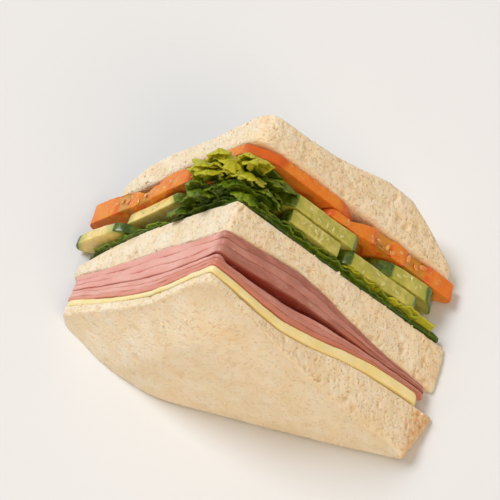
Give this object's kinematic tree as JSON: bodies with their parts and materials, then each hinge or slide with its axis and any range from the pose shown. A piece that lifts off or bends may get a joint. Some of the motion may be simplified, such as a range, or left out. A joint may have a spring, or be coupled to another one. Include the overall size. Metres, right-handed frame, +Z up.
{
  "type": "club sandwich",
  "caption": "Crustless club sandwich quarter standing on its long side: ham and cheese in one gap, leafy salad, cucumber and tomato in the other",
  "frame": {"origin": "centre of the bounding box across the base, on the surface that the sandwich stands on", "axes": "x along the base, y from the slice beside the cheese to the slice beside the tomato, z up through the square corner"},
  "size_m": [0.0978, 0.0648, 0.0521],
  "materials": {
    "bread": "soft white crumb, dry and matte",
    "cheese": "smooth pale yellow, slightly waxy",
    "ham": "moist pink cooked meat",
    "salad": "fresh leaf, satin",
    "cucumber": "wet pale flesh with dark green skin",
    "tomato": "wet orange-red flesh"
  },
  "bodies": {
    "root": {"bread_back": "bread", "bread_middle": "bread", "bread_front": "bread", "cheese": "cheese", "ham_front": "ham", "ham_back": "ham", "salad": "salad", "cucumber_1": "cucumber", "cucumber_2": "cucumber", "cucumber_3": "cucumber", "cucumber_4": "cucumber", "cucumber_5": "cucumber", "cucumber_6": "cucumber", "tomato_1": "tomato", "tomato_2": "tomato", "tomato_3": "tomato"}
  },
  "joints": []
}
